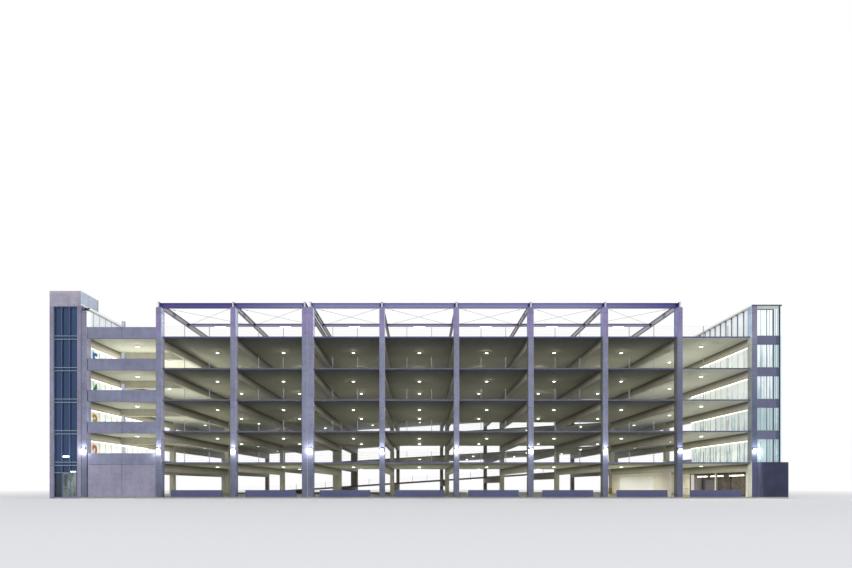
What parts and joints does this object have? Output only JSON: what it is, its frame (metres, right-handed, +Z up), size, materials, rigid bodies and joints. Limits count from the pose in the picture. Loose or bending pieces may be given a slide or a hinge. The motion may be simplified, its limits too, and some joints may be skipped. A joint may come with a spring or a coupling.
{
  "type": "multi storey car park, scale model at 1:2",
  "caption": "Open concrete car park building on a column grid, with flat decks in front, ramps behind, glazed end stairs and a steel frame over the roof.",
  "frame": {"origin": "middle of the footprint, on the underside of the ground slab", "axes": "+Z up, -Y towards the front facade, +X to the right along the front"},
  "size_m": [37.2, 18.74, 10.455],
  "materials": {
    "deck_concrete": "broom finished concrete",
    "ground_concrete": "trowelled concrete",
    "beam_concrete": "precast concrete",
    "column_concrete": "precast concrete with joint lines",
    "panel_concrete": "precast concrete",
    "tower_concrete": "precast concrete",
    "base_concrete": "board marked concrete",
    "stair_concrete": "plain concrete",
    "light_concrete": "painted concrete",
    "white_steel": "painted",
    "rail_steel": "galvanised and painted",
    "frame_steel": "painted",
    "roof_cladding": "painted sheet",
    "window_frame": "anodised",
    "door_metal": "anodised",
    "door_glass": "clear",
    "dark_glass": "tinted",
    "translucent_glass": "translucent",
    "lamp": "opal lens"
  },
  "bodies": {
    "building": {"deck_1": "deck_concrete", "deck_2": "deck_concrete", "deck_3": "deck_concrete", "deck_4": "deck_concrete", "deck_5": "deck_concrete", "turning_slabs": "deck_concrete", "ramp_1": "deck_concrete", "ramp_2": "deck_concrete", "ramp_3": "deck_concrete", "ramp_4": "deck_concrete", "ramp_5": "deck_concrete", "ground_slab": "ground_concrete", "deck_beams": "beam_concrete", "ramp_beams": "beam_concrete", "west_bay_beams": "beam_concrete", "front_columns": "column_concrete", "middle_columns": "column_concrete", "rear_columns": "column_concrete", "west_spandrels": "panel_concrete", "west_ground_wall": "panel_concrete", "knee_walls": "panel_concrete", "side_parapets": "panel_concrete", "tower_pillars": "tower_concrete", "tower_walls": "tower_concrete", "tower_cap": "tower_concrete", "tower_floors": "tower_concrete", "stair_base_walls": "base_concrete", "stair_spandrels": "base_concrete", "stair_floors": "stair_concrete", "stair_back_wall": "stair_concrete", "divider_wall": "light_concrete", "east_ground_walls": "light_concrete", "spandrel_posts": "white_steel", "rail_posts": "rail_steel", "roof_cross_beams": "frame_steel", "roof_edge_beams": "frame_steel", "roof_purlins": "frame_steel", "stair_roofs": "roof_cladding", "tower_frame": "window_frame", "door_jambs": "window_frame", "tower_glass": "dark_glass", "east_window_glass": "dark_glass", "side_screens": "translucent_glass", "stair_front_glass": "translucent_glass", "stair_side_glass": "translucent_glass", "ceiling_lights": "lamp", "roof_lights": "lamp", "wall_lights": "lamp"},
    "left_door": {"left_door_frame": "door_metal", "left_door_glass": "door_glass"},
    "right_door": {"right_door_frame": "door_metal", "right_door_glass": "door_glass"}
  },
  "joints": [
    {"name": "left_door_hinge", "type": "hinge", "parent": "building", "child": "left_door", "pos_m": [-17.95967, -9.219, 0.7], "axis": [0, 0, -1], "range_deg": [0, 90]},
    {"name": "right_door_hinge", "type": "hinge", "parent": "building", "child": "right_door", "pos_m": [-17.265, -9.219, 0.7], "axis": [0, 0, 1], "range_deg": [0, 90]}
  ]
}
